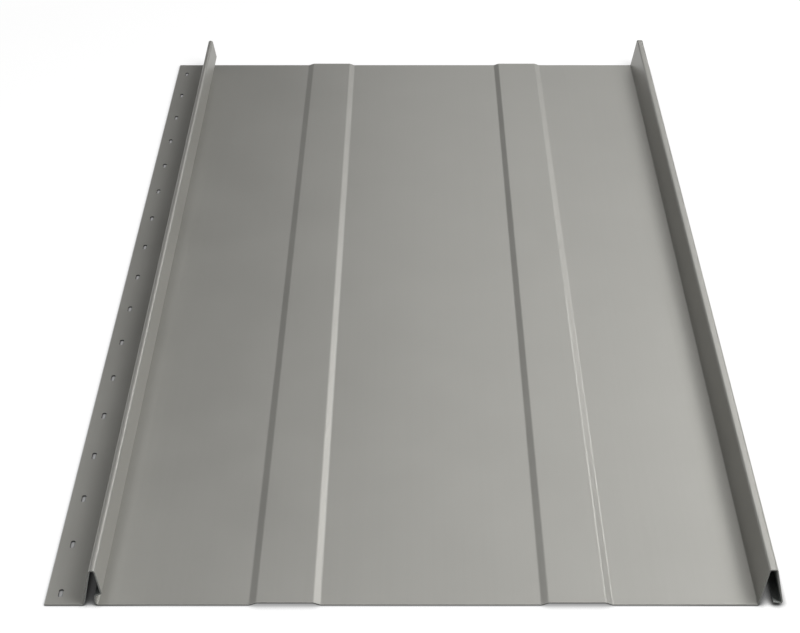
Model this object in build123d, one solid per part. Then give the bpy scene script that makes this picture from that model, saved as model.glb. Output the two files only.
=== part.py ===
from build123d import *

import math
import os

# Click-lock standing seam roof panel, roll-formed from one strip of coated sheet metal.
# +X runs across the panel from the nail flange to the cover rib, +Y along its length, +Z up.
# The origin is the middle of the panel's box, on the floor that the pan lies on.

# Driving dimensions in millimetres
sheet = 1.0
length = 1000.0
cover_width = 475.0
leg_lean = 11.2

flange_width = 27.0
slot_width = 3.4
slot_length = 9.4
slot_pitch = 60.0
slot_inset = 9.7
first_slot = 13.5
slot_end_wall = 5.0

rib_height = 30.0
rib_top_width = 2.6
knee_height = 10.6
knee_overhang = 4.6
hook_height = 8.3

seam_play = 0.2
crest_play = 0.8
lip_play = 0.3
lip_lift = 2.9
lip_rise = 0.6

bead_width = 50.0
bead_top_width = 40.0
bead_height = 1.8
bead_spacing = 205.5

bend_radius = 0.8
crest_radius = 1.2
foot_radius = 1.8
bead_radius = 4.0

# A bend has the sheet's underside on its inside where the underside is hollow,
# and on its outside where it bulges down.
lean = math.radians(leg_lean)
bulging_bend = bend_radius + sheet
bulging_foot = foot_radius + sheet
bulging_bead = bead_radius + sheet


def leaning(height):
    """How far a leg leans over while it rises by this height."""
    return height * math.tan(lean)


def across_leg(distance):
    """The width across the panel of a distance square to a leaning leg."""
    return distance / math.cos(lean)


def bend(x, z, radius):
    """One corner of the folded strip, on the sheet's underside."""
    return (x, z), radius


# Rib that carries the next panel: its left leg's underside meets the floor at x = 0
rib_hollow = rib_height - sheet
rib_top_left = leaning(rib_hollow)
rib_top_right = rib_top_left + rib_top_width
knee_x = rib_top_right + leaning(rib_hollow - knee_height)
hook_x = knee_x - knee_overhang
rib_bends = [
    bend(0, 0, bulging_bend),
    bend(rib_top_left, rib_hollow, crest_radius),
    bend(rib_top_right, rib_hollow, crest_radius),
    bend(knee_x, knee_height, bend_radius),
    bend(hook_x, hook_height, bulging_bend),
    bend(hook_x, 0, bulging_foot),
]

# Cover rib: it closes over the rib of the next panel, one cover width on, whose flange
# lies under this pan and so puts that rib one sheet lower.
gap = across_leg(sheet + seam_play)
cover_hollow = rib_hollow + crest_play
cover_foot = cover_width + leaning(sheet) - gap
cover_top_left = cover_foot + leaning(cover_hollow)
cover_leg_foot = cover_width + rib_top_right + leaning(rib_hollow - sheet) + gap
cover_top_right = cover_leg_foot - leaning(cover_hollow)
lip_corner = cover_leg_foot - leaning(lip_lift)
lip_end = cover_width + hook_x + sheet + lip_play
cover_bends = [
    bend(cover_foot, 0, bulging_bend),
    bend(cover_top_left, cover_hollow, bend_radius),
    bend(cover_top_right, cover_hollow, bend_radius),
    bend(lip_corner, lip_lift, bend_radius),
]


def bead_bends(centre):
    """The four bends of a low stiffening bead pressed up from the pan."""
    base = bead_width / 2
    top = bead_top_width / 2
    return [
        bend(centre - base, 0, bulging_bead),
        bend(centre - top, bead_height, bead_radius),
        bend(centre + top, bead_height, bead_radius),
        bend(centre + base, 0, bulging_bead),
    ]


# The beads stand evenly about the middle between this rib and the next panel's
rib_middle = knee_x / 2
cover_middle = rib_middle + cover_width / 2
left_bead = bead_bends(cover_middle - bead_spacing / 2)
right_bead = bead_bends(cover_middle + bead_spacing / 2)

# Folded strip: its underside from the flange's free edge to the end of the hooked lip,
# thickened upwards by the sheet
flange_edge = -flange_width - across_leg(sheet)
bends = rib_bends + left_bead + right_bead + cover_bends
corners = [(flange_edge, 0), *(corner for corner, _ in bends), (lip_end, lip_lift + lip_rise)]
radii = [radius for _, radius in bends]
underside = FilletPolyline(*corners, radius=radii)
section = make_face(offset(underside, amount=sheet, side=Side.LEFT).edges())
panel = extrude(Plane.XZ * section, amount=length / 2, both=True)

# Nail slots along the flange, from the front end to the back
slot_x = flange_edge + slot_inset
slot_room = length - first_slot - slot_length / 2 - slot_end_wall
slot_count = 1 + int(slot_room // slot_pitch)
nail_slot = SlotOverall(slot_length, slot_width, rotation=90)
for number in range(slot_count):
    slot_y = first_slot - length / 2 + number * slot_pitch
    panel -= Pos(slot_x, slot_y, 0) * extrude(nail_slot, amount=2 * sheet, both=True)

middle_x = panel.bounding_box().center().X
panel = Pos(-middle_x, 0, 0) * panel
panel.label = "roof_panel"

box = panel.bounding_box()
print("overall", box.size, "low corner", box.min, "high corner", box.max)
print("slots", slot_count, "at x", round(slot_x - middle_x, 3), "first y", first_slot - length / 2)
print("strip width", round(section.area / sheet, 1), "rib foot at x", round(-middle_x, 3))

os.makedirs("parts", exist_ok=True)
export_step(panel, "parts/roof_panel.step")
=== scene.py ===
# %% [markdown]
# # A snap-lock roof panel, folded from one strip of coated sheet
#
# The real object is a length of standing seam roofing. A row of rolls folds it from one
# flat strip of painted sheet metal. On the left a slotted flange is nailed to the roof,
# and a rib with a hooked foot stands beside it. In the middle lies the flat pan, with two
# low beads that keep it stiff and quiet in the wind. On the right a second rib, open
# below and with its lip turned in, snaps down over the first rib of the next panel.
#
# The lesson folds the strip in the same order as a metalworker would: the flat sheet,
# the folds, the rounding of each bend, the thickness, and the nail slots. Then it paints
# the sheet and lights it.

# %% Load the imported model
import math

import bpy
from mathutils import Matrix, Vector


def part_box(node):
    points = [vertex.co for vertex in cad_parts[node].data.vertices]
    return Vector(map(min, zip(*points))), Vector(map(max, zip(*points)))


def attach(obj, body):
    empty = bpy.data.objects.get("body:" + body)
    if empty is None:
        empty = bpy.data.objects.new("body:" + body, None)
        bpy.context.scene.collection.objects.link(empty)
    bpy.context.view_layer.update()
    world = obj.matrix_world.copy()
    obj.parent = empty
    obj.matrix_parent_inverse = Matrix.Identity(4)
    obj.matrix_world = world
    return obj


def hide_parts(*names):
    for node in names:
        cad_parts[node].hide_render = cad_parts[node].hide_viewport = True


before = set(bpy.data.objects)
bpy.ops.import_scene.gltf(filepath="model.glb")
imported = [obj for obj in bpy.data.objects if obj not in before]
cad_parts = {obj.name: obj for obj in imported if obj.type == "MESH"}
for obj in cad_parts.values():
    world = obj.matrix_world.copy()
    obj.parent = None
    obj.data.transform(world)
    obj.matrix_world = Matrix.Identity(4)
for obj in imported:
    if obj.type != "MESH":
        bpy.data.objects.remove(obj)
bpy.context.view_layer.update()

mm = 0.001
slot_inset = 9.7
panel_low, panel_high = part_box("roof_panel")
panel_length = (panel_high[1] - panel_low[1]) / mm
slot_x = panel_low[0] / mm + slot_inset
print("packed panel in mm", [round(value / mm, 2) for value in (*panel_low, *panel_high)])

# %% [markdown]
# ## The camera
#
# The photograph was taken from the middle of the panel's near end, a good metre and a
# half back and under a metre up, with a long lens. Straight edges that run along the
# panel meet at one point in the picture, and the nail slots come closer together by a
# known step, so the lens and the height could be worked out from them. The camera
# object below takes these values.

# %% Place the camera
looks_down = 28.834
camera_lens = bpy.data.cameras.new("photo_camera")
camera_lens.sensor_width = 36
camera_lens.lens = 95.75
camera_lens.shift_x = -0.0158
camera = bpy.data.objects.new("photo_camera", camera_lens)
camera.location = (-0.0005, -1.7112, 0.8987)
camera.rotation_euler = (math.radians(90 - looks_down), 0, 0)
bpy.context.scene.collection.objects.link(camera)
bpy.context.scene.camera = camera
print("camera looks down by", looks_down, "degrees from", tuple(camera.location))

# %% [markdown]
# ## One function for all nodes
#
# Every material below is built from shader nodes. This function adds one node, sets its
# properties and its sockets, and links what is handed to it from other nodes.

# %% Add a node
def node(tree, kind, sockets=None, **settings):
    """Adds one shader node. A socket given as (node, output) is linked, any other is set."""
    made = tree.nodes.new(kind)
    for name, value in settings.items():
        setattr(made, name, value)
    for name, value in (sockets or {}).items():
        if isinstance(value, tuple) and isinstance(value[0], bpy.types.Node):
            tree.links.new(value[0].outputs[value[1]], made.inputs[name])
        else:
            made.inputs[name].default_value = value
    return made


def paint_colour(hex_code):
    """Turns an sRGB colour such as #8C8C86 into the linear values that shaders use."""
    shares = [int(hex_code[place:place + 2], 16) / 255 for place in (1, 3, 5)]
    linear = [s / 12.92 if s <= 0.04045 else ((s + 0.055) / 1.055) ** 2.4 for s in shares]
    return (*linear, 1.0)


# %% [markdown]
# ## Floor and backdrop
#
# The photograph has a pure white ground with only a thin soft shadow around the sheet.
# White could come from strong lamps, but they would bleach the paint as well. So the
# floor is matt paper with a little light of its own, which only the camera and mirror
# rays see. Close to the sheet that light and the paper's colour fade to a painted shade,
# as daylight does in a corner, so the thin shadow stays. Ambient Occlusion measures the
# fading: it says how much open sky a point has within a short distance.

# %% Lay the floor
bpy.ops.object.select_all(action="DESELECT")
bpy.ops.mesh.primitive_plane_add(size=16, location=(0, 0, 0))
floor = bpy.context.object
floor.name = "studio_floor"
matt_paper = bpy.data.materials.new("matt_white_paper")
matt_paper.use_nodes = True
floor.data.materials.append(matt_paper)
print("floor in metres", tuple(floor.dimensions[:2]))


# %% Tell seeing rays from lighting rays
def seeing_rays(tree):
    """Adds a value that is 1 for camera, mirror and see-through rays, and 0 for others."""
    ray = node(tree, "ShaderNodeLightPath")
    seen = node(tree, "ShaderNodeMath", {0: (ray, "Is Camera Ray"), 1: (ray, "Is Glossy Ray")},
                operation="MAXIMUM")
    return node(tree, "ShaderNodeMath", {0: (seen, 0), 1: (ray, "Is Transmission Ray")},
                operation="MAXIMUM")


# %% Shade the paper near the sheet
tree = matt_paper.node_tree
tree.nodes.clear()
place = node(tree, "ShaderNodeTexCoord")
across = node(tree, "ShaderNodeSeparateXYZ", {0: (place, "Object")})
off_middle = node(tree, "ShaderNodeMath", {0: (across, "X")}, operation="ABSOLUTE")
# 0 under the beads and the pan, 1 from 210 mm off the middle, where the ribs stand
by_rib = node(tree, "ShaderNodeMapRange", {"Value": (off_middle, 0), "From Min": 0.18,
                                           "From Max": 0.21})
# Along the pan a soft line of painted shade reaches 12 mm out from the sheet
pan_sky = node(tree, "ShaderNodeAmbientOcclusion", {"Distance": 0.012}, samples=16)
pan_sky = node(tree, "ShaderNodeMath", {0: (pan_sky, "AO"), 1: 4.5}, operation="POWER")
pan_shade = node(tree, "ShaderNodeMapRange", {"Value": (pan_sky, 0), "To Min": 0.45})
# At the ribs it reaches 6 mm and is deeper
rib_sky = node(tree, "ShaderNodeAmbientOcclusion", {"Distance": 0.006}, samples=16)
rib_shade = node(tree, "ShaderNodeMath", {0: (rib_sky, "AO"), 1: 2.0}, operation="POWER")
near_shade = node(tree, "ShaderNodeMix", {"Factor": (by_rib, 0), 2: (pan_shade, 0),
                                          3: (rib_shade, 0)})
# Under the nail flange the paper gets a band of painted shade too, where only the slots
# show it: within 4 mm of their row, and short of the panel's two ends
slot_row = node(tree, "ShaderNodeMath", {0: (across, "X"), 1: slot_x * mm, 2: 0.004},
                operation="COMPARE")
flange_run = node(tree, "ShaderNodeMath", {0: (across, "Y"), 1: 0.0, 2: 0.495},
                  operation="COMPARE")
in_slots = node(tree, "ShaderNodeMath", {0: (slot_row, 0), 1: (flange_run, 0)},
                operation="MULTIPLY")
slot_shade = node(tree, "ShaderNodeMapRange", {"Value": (in_slots, 0), "To Min": 1.0,
                                               "To Max": 0.40})
near_shade = node(tree, "ShaderNodeMath", {0: (near_shade, 0), 1: (slot_shade, 0)},
                  operation="MULTIPLY")
# Inside the ribs, 30 mm tall, hardly any light reaches the paper: painted shade cuts its own
# light
far_sky = node(tree, "ShaderNodeAmbientOcclusion", {"Distance": 0.03}, samples=16)
open_share = node(tree, "ShaderNodeMapRange", {"Value": (far_sky, "AO"), "From Min": 0.15,
                                               "From Max": 0.70, "To Min": 0.10})
open_share = node(tree, "ShaderNodeMix", {"Factor": (by_rib, 0), 2: 1.0, 3: (open_share, 0)})
print("nodes that shade the paper", len(tree.nodes))

# %% Give the paper its own light
seen = seeing_rays(tree)
# Far from the lamps the paper needs more light of its own to stay white
away = node(tree, "ShaderNodeVectorMath", {0: (place, "Object")}, operation="LENGTH")
level = node(tree, "ShaderNodeMapRange", {"Value": (away, "Value"), "From Min": 0.8,
                                          "From Max": 2.2, "To Min": 0.78, "To Max": 0.95})
own_light = node(tree, "ShaderNodeMath", {0: (near_shade, 0), 1: (open_share, 0)},
                 operation="MULTIPLY")
own_light = node(tree, "ShaderNodeMath", {0: (own_light, 0), 1: (level, 0)},
                 operation="MULTIPLY")
own_light = node(tree, "ShaderNodeMath", {0: (seen, 0), 1: (own_light, 0)},
                 operation="MULTIPLY")
# Seen paper is greyer than the paper that lights the sheet: its own light makes it white
paper_white = node(tree, "ShaderNodeMix", {"Factor": (seen, 0), 6: paint_colour("#F8F8F8"),
                                           7: paint_colour("#969696")}, data_type="RGBA")
# The painted shade also darkens the paper's colour towards black close to the sheet
shade = node(tree, "ShaderNodeMix", {"Factor": (near_shade, 0), 6: paint_colour("#000000"),
                                     7: (paper_white, 2)}, data_type="RGBA")
paper = node(tree, "ShaderNodeBsdfDiffuse", {"Color": (shade, 2)})
glow = node(tree, "ShaderNodeEmission", {"Strength": (own_light, 0)})
both = node(tree, "ShaderNodeAddShader", {0: (paper, 0), 1: (glow, 0)})
node(tree, "ShaderNodeOutputMaterial", {"Surface": (both, 0)})
print("nodes in the paper", len(tree.nodes))

# %% Light the world
fill_strength = 0.19
world = bpy.data.worlds.new("studio_world")
bpy.context.scene.world = world
world.use_nodes = True
tree = world.node_tree
tree.nodes.clear()
seen = seeing_rays(tree)
fill = node(tree, "ShaderNodeBackground", {"Color": (1, 1, 1, 1), "Strength": fill_strength})
white = node(tree, "ShaderNodeBackground", {"Color": (1, 1, 1, 1), "Strength": 1.0})
sky = node(tree, "ShaderNodeMixShader", {0: (seen, 0), 1: (fill, 0), 2: (white, 0)})
node(tree, "ShaderNodeOutputWorld", {"Surface": (sky, 0)})
print("world fills shadows at", fill_strength, "and looks white")

# %% [markdown]
# ## Soft boxes and flags
#
# The coat on this sheet holds fine metal flake, so part of it works like a very rough
# mirror and shows the studio. Every fold turns that mirror to another place, and the
# tones of the folds in the photograph tell what stood there. A large soft box above the
# front right lights the sheet. A narrow one far behind it on the right brightens the
# right of the pan and the beads' right slopes, and one high on the left brightens the
# nail flange and the near left of the pan. Between them hangs dark cloth. Photographers
# call such cloths flags: metal has to mirror something dark as well, or a fold has no
# shape.

# %% Hang the soft boxes
def soft_box(name, place, aim, width, height, power):
    """Hangs an area lamp at a place, level at the top, and turns it to an aim."""
    lamp = bpy.data.lights.new(name, "AREA")
    lamp.shape = "RECTANGLE"
    lamp.size = width
    lamp.size_y = height
    lamp.energy = power
    hung = bpy.data.objects.new(name, lamp)
    reach = [a - p for a, p in zip(aim, place)]
    flat = math.hypot(reach[0], reach[1])
    hung.location = place
    hung.rotation_euler = (math.atan2(flat, -reach[2]), 0, math.atan2(-reach[0], reach[1]))
    bpy.context.scene.collection.objects.link(hung)
    print(name, "at", place, "power", power)
    return hung


back_wall = 2.6
soft_box("key_soft_box", (1.25, -0.9, 2.0), (0, 0, 0), 1.3, 1.3, 63)
soft_box("window_soft_box", (1.23, back_wall, 1.66), (1.23, 0, 1.66), 0.46, 0.78, 10.5)
soft_box("high_soft_box", (-1.31, back_wall, 3.90), (-1.31, 0, 3.90), 0.72, 1.36, 12.0)

# %% Dye the cloth
dark_cloth = bpy.data.materials.new("dark_flag_cloth")
dark_cloth.use_nodes = True
tree = dark_cloth.node_tree
tree.nodes.clear()
matt = node(tree, "ShaderNodeBsdfDiffuse", {"Color": paint_colour("#4A4A4A")})
node(tree, "ShaderNodeOutputMaterial", {"Surface": (matt, 0)})
print("cloth", dark_cloth.name)


# %% Hang the flags
def hang_flag(name, left, right, bottom, top):
    """Hangs a cloth just behind the soft boxes. Only mirror rays see it."""
    middle = ((left + right) / 2, back_wall + 0.02, (bottom + top) / 2)
    bpy.ops.object.select_all(action="DESELECT")
    bpy.ops.mesh.primitive_plane_add(size=1, rotation=(math.radians(90), 0, 0), location=middle)
    flag = bpy.context.object
    flag.name = name
    flag.scale = (right - left, top - bottom, 1)
    flag.visible_camera = False
    flag.visible_diffuse = False
    flag.visible_shadow = False
    flag.data.materials.append(dark_cloth)
    print(name, "from", left, "to", right)


# The left flag stops short of the floor, so that the far left mirrors a strip of white
hang_flag("left_flag", -3.6, -0.16, 0.35, 4.6)
hang_flag("right_flag", 0.98, 3.6, 0.0, 4.6)
hang_flag("low_flag", -0.16, 0.98, 0.0, 0.57)

# %% [markdown]
# ## The folds of the strip
#
# All folds share one thickness, so it is enough to model the strip's underside as a
# single surface and to thicken it at the end. Both ribs lean by the same angle, so that
# one closes over the other like a lid. The cover rib's flats follow from the rib that it
# snaps over: that one stands a cover width further on and one sheet lower, because its
# flange lies under this pan, and the two keep a little play.

# %% Measure the section
sheet = 1.0
cover_width = 475.0
rib_height = 30.0
rib_top_width = 2.6
knee_height = 10.6
knee_overhang = 4.6
hook_height = 8.3
flange_width = 27.0
seam_play = 0.2
crest_play = 0.8
lip_play = 0.3
lip_lift = 2.9
lip_rise = 0.6
bead_slope = 5.0
bead_top_width = 40.0
bead_height = 1.8
bead_spacing = 205.5
lean = math.radians(11.2)


def leaning(height):
    """How far a leg leans over while it rises by this height."""
    return height * math.tan(lean)


def across_leg(distance):
    """The width across the panel of a distance square to a leaning leg."""
    return distance / math.cos(lean)


# %% Work out where the flats begin
rib_foot = panel_low[0] / mm + flange_width + across_leg(sheet)
rib_hollow = rib_height - sheet
knee_x = rib_top_width + leaning(2 * rib_hollow - knee_height)
hook_x = knee_x - knee_overhang
pan_start = rib_foot + hook_x

bead_width = bead_top_width + 2 * bead_slope
cover_middle = (knee_x + cover_width) / 2
left_bead_start = rib_foot + cover_middle - (bead_spacing + bead_width) / 2
right_bead_end = rib_foot + cover_middle + (bead_spacing + bead_width) / 2

gap = across_leg(sheet + seam_play)
cover_hollow = rib_hollow + crest_play
cover_foot = rib_foot + cover_width + leaning(sheet) - gap
cover_leg_foot = rib_foot + cover_width + rib_top_width + leaning(2 * rib_hollow - sheet) + gap
cover_top_width = cover_leg_foot - cover_foot - leaning(2 * cover_hollow)
lip_corner = cover_leg_foot - leaning(lip_lift)
lip_end = rib_foot + cover_width + hook_x + sheet + lip_play
print("pan starts at", round(pan_start, 2), "left bead at", round(left_bead_start, 2))
print("cover rib stands at", round(cover_foot, 2), "its lip ends at", round(lip_end, 2))

# %% [markdown]
# ## The first flat
#
# The start is a plane: the part of the pan between the hooked rib and the left bead, as
# long as the panel. Everything else is folded on to its two long edges.

# %% Start with a piece of the pan
bpy.ops.object.select_all(action="DESELECT")
bpy.ops.mesh.primitive_plane_add(size=1, location=(0, 0, 0))
panel = bpy.context.object
panel.name = "folded_panel"
bpy.ops.object.mode_set(mode="EDIT")
bpy.ops.transform.resize(value=((left_bead_start - pan_start) * mm, panel_length * mm, 1))
bpy.ops.transform.translate(value=((left_bead_start + pan_start) / 2 * mm, 0, 0))
bpy.ops.object.mode_set(mode="OBJECT")
print("first flat, width in mm", round(panel.dimensions[0] / mm, 2))

# %% [markdown]
# ## Folding the strip
#
# A press brake turns one flat after another out of the sheet. Extruding an edge does the
# same to a surface: each move below is one flat, given as how far it goes across the
# panel and how far up, in millimetres.


# %% A helper that picks a fold by its place
def pick_fold(x, z):
    """Selects only the lengthwise edge at this place across the panel and height."""
    close = 0.02
    bpy.ops.object.mode_set(mode="EDIT")
    bpy.ops.mesh.select_mode(type="EDGE")
    bpy.ops.mesh.select_all(action="DESELECT")
    bpy.ops.object.mode_set(mode="OBJECT")
    points = panel.data.vertices
    for edge in panel.data.edges:
        ends = [points[index].co for index in edge.vertices]
        edge.select = all(math.hypot(p.x / mm - x, p.z / mm - z) < close for p in ends)
    bpy.ops.object.mode_set(mode="EDIT")


# %% A helper that folds flats on
def fold_on(x, z, flats):
    """Extrudes flat after flat from the edge at this place, and returns where it ends."""
    pick_fold(x, z)
    for across, up in flats:
        bpy.ops.mesh.extrude_edges_move(
            TRANSFORM_OT_translate={"value": (across * mm, 0, up * mm)})
        x += across
        z += up
    bpy.ops.object.mode_set(mode="OBJECT")
    return x, z


# %% Fold the hooked rib and the nail flange
knee_to_top = rib_hollow - knee_height
rib_flats = [
    (0, hook_height),                               # foot, straight up
    (knee_overhang, knee_height - hook_height),     # underside of the hook, to the knee
    (-leaning(knee_to_top), knee_to_top),           # right leg
    (-rib_top_width, 0),                            # crest
    (-leaning(rib_hollow), -rib_hollow),            # left leg, down to the roof
    (-flange_width - across_leg(sheet), 0),         # nail flange
]
flange_edge = fold_on(pan_start, 0, rib_flats)
print("flange ends at", [round(value, 2) for value in flange_edge])

# %% Press the beads and fold the cover rib
bead_flats = [(bead_slope, bead_height), (bead_top_width, 0), (bead_slope, -bead_height)]
leg_drop = cover_hollow - lip_lift
pan_flats = [
    *bead_flats,
    (bead_spacing - bead_width, 0),                 # pan between the beads
    *bead_flats,
    (cover_foot - right_bead_end, 0),               # pan up to the cover rib
    (leaning(cover_hollow), cover_hollow),          # inner leg
    (cover_top_width, 0),                           # crest
    (leaning(leg_drop), -leg_drop),                 # outer leg, down to the lip
    (lip_end - lip_corner, lip_rise),               # lip, turned in and slightly up
]
lip_edge = fold_on(left_bead_start, 0, pan_flats)
print("lip ends at", [round(value, 2) for value in lip_edge])

# %% [markdown]
# ## Rounding the bends
#
# Sheet metal can't fold to a knife edge: the paint would crack. The tight bends have a
# radius of 0.8 mm on their hollow side, which makes 1.8 mm on the other side of the
# sheet, and the crest and foot of the hooked rib are rounder still. Bevel rounds an
# edge. It asks how far from the edge to start, which for an arc of radius r and a turn
# of t is r times the tangent of half of t, so a helper works that out from the two flats.


# %% Round one row of bends
def round_bends(x, z, heading, flats, radii, steps):
    """Bevels the fold at the start of each flat. Heading is the way of the flat before."""
    for (across, up), radius, count in zip(flats, radii, steps):
        cosine = (heading[0] * across + heading[1] * up) / math.hypot(*heading)
        turn = math.acos(cosine / math.hypot(across, up))
        pick_fold(x, z)
        bpy.ops.mesh.bevel(affect="EDGES", offset_type="OFFSET", segments=count, profile=0.5,
                           offset=radius * mm * math.tan(turn / 2), clamp_overlap=False)
        bpy.ops.object.mode_set(mode="OBJECT")
        heading = (across, up)
        x += across
        z += up


hollow = 0.8                  # the underside is on the inside of the bend
bulging = hollow + sheet      # the underside is on the outside of the bend
crest = 1.2
foot = 1.8 + sheet
bead_hollow = 4.0
bead_bulging = bead_hollow + sheet
round_bends(pan_start, 0, (-1, 0), rib_flats,
            [foot, bulging, hollow, crest, crest, bulging], [8, 6, 8, 12, 12, 8])
bead_radii = [bead_bulging, bead_hollow, bead_hollow, bead_bulging]
round_bends(left_bead_start, 0, (1, 0), pan_flats,
            [*bead_radii, *bead_radii, bulging, hollow, hollow, hollow], [4] * 8 + [8] * 4)
print("flats and bends", len(panel.data.polygons))

# %% [markdown]
# ## Thickness
#
# Solidify gives the surface its second side. An even thickness keeps the two sides of
# each bend parallel, as they are in real sheet. The modifier can give the new side and
# the rim other materials, so the three finishes are set up here: the top coat, the thin
# backing coat below, and the bare metal where the shears went through.

# %% Thicken the sheet
top_coat = bpy.data.materials.new("polyester_coil_coating")
backing_coat = bpy.data.materials.new("epoxy_backing_coat")
cut_metal = bpy.data.materials.new("sheared_galvanised_edge")
for finish in (top_coat, backing_coat, cut_metal):
    panel.data.materials.append(finish)
top_slot, backing_slot, cut_slot = range(3)

thickness = panel.modifiers.new("thickness", "SOLIDIFY")
thickness.thickness = sheet * mm
thickness.offset = 1
thickness.use_even_offset = True
thickness.use_quality_normals = True
thickness.material_offset = backing_slot
thickness.material_offset_rim = cut_slot
bpy.ops.object.modifier_apply(modifier="thickness")
print("sheet box in mm", [round(side / mm, 2) for side in panel.dimensions])

# %% [markdown]
# ## Nail slots
#
# A punch makes one slot every 60 mm along the flange. The slots are longer than they are
# wide so that the panel can slide under its nails as the sun heats it. One punch is
# enough: a cylinder, pulled out to a slot by moving half of it, and then repeated.

# %% Make the punch
slot_width = 3.4
slot_length = 9.4
first_slot = 13.5
first_slot_y = first_slot - panel_length / 2
slot_pull = slot_length - slot_width
front_y = first_slot_y - slot_pull / 2
bpy.ops.object.select_all(action="DESELECT")
bpy.ops.mesh.primitive_cylinder_add(vertices=48, radius=slot_width / 2 * mm,
                                    depth=6 * sheet * mm,
                                    location=(slot_x * mm, front_y * mm, 0))
punch = bpy.context.object
punch.name = "slot_punch"
bpy.ops.object.transform_apply(location=True, rotation=True, scale=True)
bpy.ops.object.mode_set(mode="EDIT")
bpy.ops.mesh.select_mode(type="VERT")
bpy.ops.mesh.select_all(action="DESELECT")
bpy.ops.object.mode_set(mode="OBJECT")
for point in punch.data.vertices:
    point.select = point.co.y > front_y * mm - 1e-6
bpy.ops.object.mode_set(mode="EDIT")
bpy.ops.transform.translate(value=(0, slot_pull * mm, 0))
bpy.ops.object.mode_set(mode="OBJECT")
print("punch in mm", [round(side / mm, 2) for side in punch.dimensions])

# %% Punch the flange
slot_pitch = 60.0
slot_count = 17
row = punch.modifiers.new("row", "ARRAY")
row.count = slot_count
row.use_relative_offset = False
row.use_constant_offset = True
row.constant_offset_displace = (0, slot_pitch * mm, 0)
bpy.ops.object.modifier_apply(modifier="row")

bpy.ops.object.select_all(action="DESELECT")
panel.select_set(True)
bpy.context.view_layer.objects.active = panel
punched = panel.modifiers.new("punched", "BOOLEAN")
punched.operation = "DIFFERENCE"
punched.solver = "EXACT"
punched.object = punch
bpy.ops.object.modifier_apply(modifier="punched")
bpy.data.objects.remove(punch)
print("slots", slot_count, "and faces after punching", len(panel.data.polygons))

# %% [markdown]
# ## Edges and shading
#
# Shears and punches leave an edge that is slightly broken, not razor sharp. A bevel of a
# tenth of a millimetre gives it the thin line of light that a real edge has. Smooth
# shading rounds the bends, and weighted normals keep the wide flats flat beside them.

# %% Break the sharp edges and shade the bends
broken_edge = 0.1
broken = panel.modifiers.new("broken", "BEVEL")
broken.width = broken_edge * mm
broken.segments = 2
broken.limit_method = "ANGLE"
broken.angle_limit = math.radians(50)
broken.use_clamp_overlap = False
bpy.ops.object.modifier_apply(modifier="broken")

bpy.ops.object.shade_smooth_by_angle(angle=math.radians(35))
flats_first = panel.modifiers.new("flats_first", "WEIGHTED_NORMAL")
flats_first.keep_sharp = True
bpy.ops.object.modifier_apply(modifier="flats_first")
print("faces with broken edges", len(panel.data.polygons))

# %% Give every cut face the bare metal
facing = 0.6                  # how much of a normal points one way when a face faces it


def is_cut(face):
    """Whether a face was made by the shears, the slitter or the punch."""
    x, z = face.center.x / mm, face.center.z / mm
    sheared = abs(face.normal.y) > facing
    on_flange = x < rib_foot - 3 * sheet and abs(face.normal.z) < facing
    at_lip = abs(x - lip_edge[0]) < sheet / 2 + 0.1 and abs(z - lip_edge[1] + sheet / 2) < sheet
    return sheared or on_flange or (at_lip and face.normal.x < -facing)


for face in panel.data.polygons:
    if is_cut(face):
        face.material_index = cut_slot
    elif face.material_index == cut_slot:
        face.material_index = top_slot
finishes = [face.material_index for face in panel.data.polygons]
print("faces with top coat", finishes.count(top_slot), "backing coat",
      finishes.count(backing_slot), "bare edge", finishes.count(cut_slot))

# %% [markdown]
# ## The top coat
#
# The visible paint is a polyester coil coating with fine metal flake in it: it is rolled
# on wet over zinc-coated steel and baked before the strip is folded. It is a warm mid
# grey with a satin gloss. The flakes make it act partly as a dull mirror and partly as
# matt paint, which is what the Metallic value of about a half stands for. Rolling leaves
# faint lines along the strip and a very fine orange-peel texture, and the large flats
# are never quite flat. Those three set how the light breaks on it.

# %% Draw the patterns of the top coat
top_coat.use_nodes = True
tree = top_coat.node_tree
tree.nodes.clear()
place = node(tree, "ShaderNodeTexCoord")
# Rolls run along the strip, so their lines are 3 mm apart across it and drawn out along it
lines_place = node(tree, "ShaderNodeMapping",
                   {"Vector": (place, "Object"), "Scale": (330, 1.2, 60)})
roll_lines = node(tree, "ShaderNodeTexNoise",
                  {"Vector": (lines_place, 0), "Scale": 1.0, "Detail": 2.0, "Roughness": 0.5})
# Cloudy differences in the film, about 90 mm across
clouds = node(tree, "ShaderNodeTexNoise",
              {"Vector": (place, "Object"), "Scale": 11.0, "Detail": 3.0, "Roughness": 0.55})
# Orange peel is about 0.5 mm across; it is drawn at 1.6 mm so that it shows at all
peel = node(tree, "ShaderNodeTexNoise",
            {"Vector": (place, "Object"), "Scale": 620.0, "Detail": 1.0, "Roughness": 0.5})
# The flats swell and sink by a few tenths of a millimetre over 150 mm
swell_place = node(tree, "ShaderNodeMapping",
                   {"Vector": (place, "Object"), "Scale": (6.5, 3.2, 6.5)})
swell = node(tree, "ShaderNodeTexNoise",
             {"Vector": (swell_place, 0), "Scale": 1.0, "Detail": 1.0, "Roughness": 0.4})
print("patterns drawn in", top_coat.name)

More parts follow.
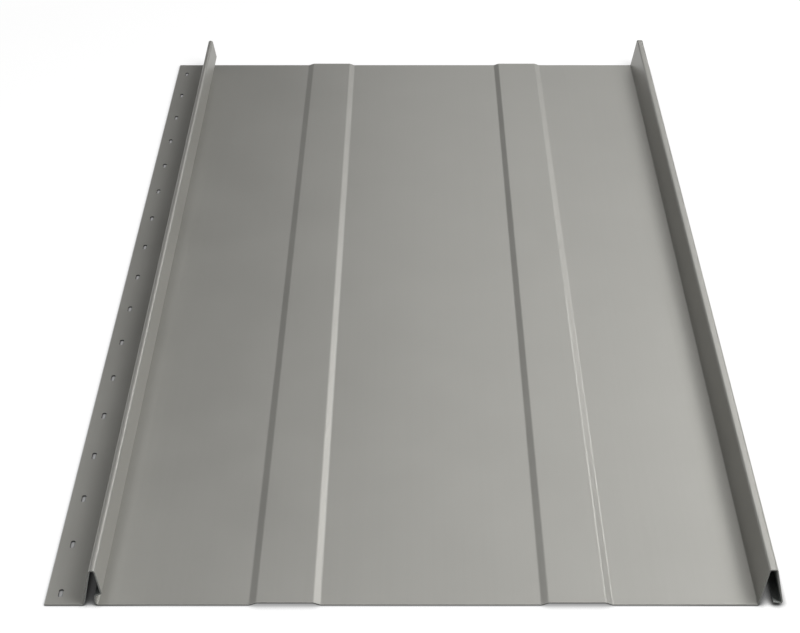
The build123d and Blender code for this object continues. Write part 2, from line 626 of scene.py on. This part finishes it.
# %% Mix the top coat
mottle = node(tree, "ShaderNodeMath", {0: (roll_lines, 0), 1: 0.35}, operation="MULTIPLY")
mottle = node(tree, "ShaderNodeMath", {0: (clouds, 0), 1: (mottle, 0)}, operation="ADD")
tone = node(tree, "ShaderNodeMapRange",
            {"Value": (mottle, 0), "From Min": 0.40, "From Max": 0.95})
paint = node(tree, "ShaderNodeMix", {"Factor": (tone, 0), 6: paint_colour("#A5A49F"),
                                     7: paint_colour("#A9A8A3")}, data_type="RGBA")
satin = node(tree, "ShaderNodeMapRange", {"Value": (tone, 0), "To Min": 0.37, "To Max": 0.41})
swells = node(tree, "ShaderNodeBump",
              {"Strength": 1.0, "Distance": 0.0003, "Height": (swell, 0)})
skin = node(tree, "ShaderNodeBump", {"Strength": 1.0, "Distance": 0.000002, "Height": (peel, 0),
                                     "Normal": (swells, 0)})
coating = node(tree, "ShaderNodeBsdfPrincipled", {
    "Base Color": (paint, 2), "Roughness": (satin, 0), "IOR": 1.5, "Metallic": 0.60,
    "Specular Tint": paint_colour("#C8C8C8"), "Normal": (skin, 0)})
node(tree, "ShaderNodeOutputMaterial", {"Surface": (coating, 0)})
print("nodes in the top coat", len(tree.nodes))

# %% [markdown]
# ## The backing coat and the cut edge
#
# The underside gets only a thin epoxy backing coat, duller and a little cooler than the
# top coat. Where the sheet is cut, a line of zinc and steel shows between the two coats,
# dull and dark beside the paint.

# %% Mix the backing coat
backing_coat.use_nodes = True
tree = backing_coat.node_tree
tree.nodes.clear()
place = node(tree, "ShaderNodeTexCoord")
# Streaks of the roller, 8 mm apart and half a metre long
streak_place = node(tree, "ShaderNodeMapping",
                    {"Vector": (place, "Object"), "Scale": (120, 2, 40)})
streaks = node(tree, "ShaderNodeTexNoise",
               {"Vector": (streak_place, 0), "Scale": 1.0, "Detail": 3.0, "Roughness": 0.6})
backing = node(tree, "ShaderNodeMix", {"Factor": (streaks, 0), 6: paint_colour("#7E817F"),
                                       7: paint_colour("#8C8F8D")}, data_type="RGBA")
# Grit in the dull film, about 1.2 mm apart
grain = node(tree, "ShaderNodeTexNoise",
             {"Vector": (place, "Object"), "Scale": 800.0, "Detail": 2.0, "Roughness": 0.6})
grit = node(tree, "ShaderNodeBump",
            {"Strength": 1.0, "Distance": 0.00001, "Height": (grain, 0)})
primer = node(tree, "ShaderNodeBsdfPrincipled", {
    "Base Color": (backing, 2), "Roughness": 0.55, "IOR": 1.5, "Metallic": 0.0,
    "Normal": (grit, 0)})
node(tree, "ShaderNodeOutputMaterial", {"Surface": (primer, 0)})
print("nodes in the backing coat", len(tree.nodes))

# %% Mix the bare cut edge
cut_metal.use_nodes = True
tree = cut_metal.node_tree
tree.nodes.clear()
place = node(tree, "ShaderNodeTexCoord")
# Shearing drags fine upright lines through the edge, about 0.3 mm apart
drag_place = node(tree, "ShaderNodeMapping",
                  {"Vector": (place, "Object"), "Scale": (3300, 3300, 300)})
drag = node(tree, "ShaderNodeTexNoise",
            {"Vector": (drag_place, 0), "Scale": 1.0, "Detail": 2.0, "Roughness": 0.6})
zinc = node(tree, "ShaderNodeMix", {"Factor": (drag, 0), 6: paint_colour("#555654"),
                                    7: paint_colour("#727370")}, data_type="RGBA")
torn = node(tree, "ShaderNodeBump",
            {"Strength": 1.0, "Distance": 0.00002, "Height": (drag, 0)})
metal = node(tree, "ShaderNodeBsdfPrincipled", {
    "Base Color": (zinc, 2), "Roughness": 0.48, "Metallic": 1.0, "Normal": (torn, 0)})
node(tree, "ShaderNodeOutputMaterial", {"Surface": (metal, 0)})
print("nodes in the cut edge", len(tree.nodes))

# %% [markdown]
# ## Hand the panel over
#
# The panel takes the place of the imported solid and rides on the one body. The view
# transform is the standard one, so that a colour comes out as it was mixed.

# %% Finish
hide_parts("roof_panel")
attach(panel, "root")
bpy.context.scene.view_settings.view_transform = "Standard"
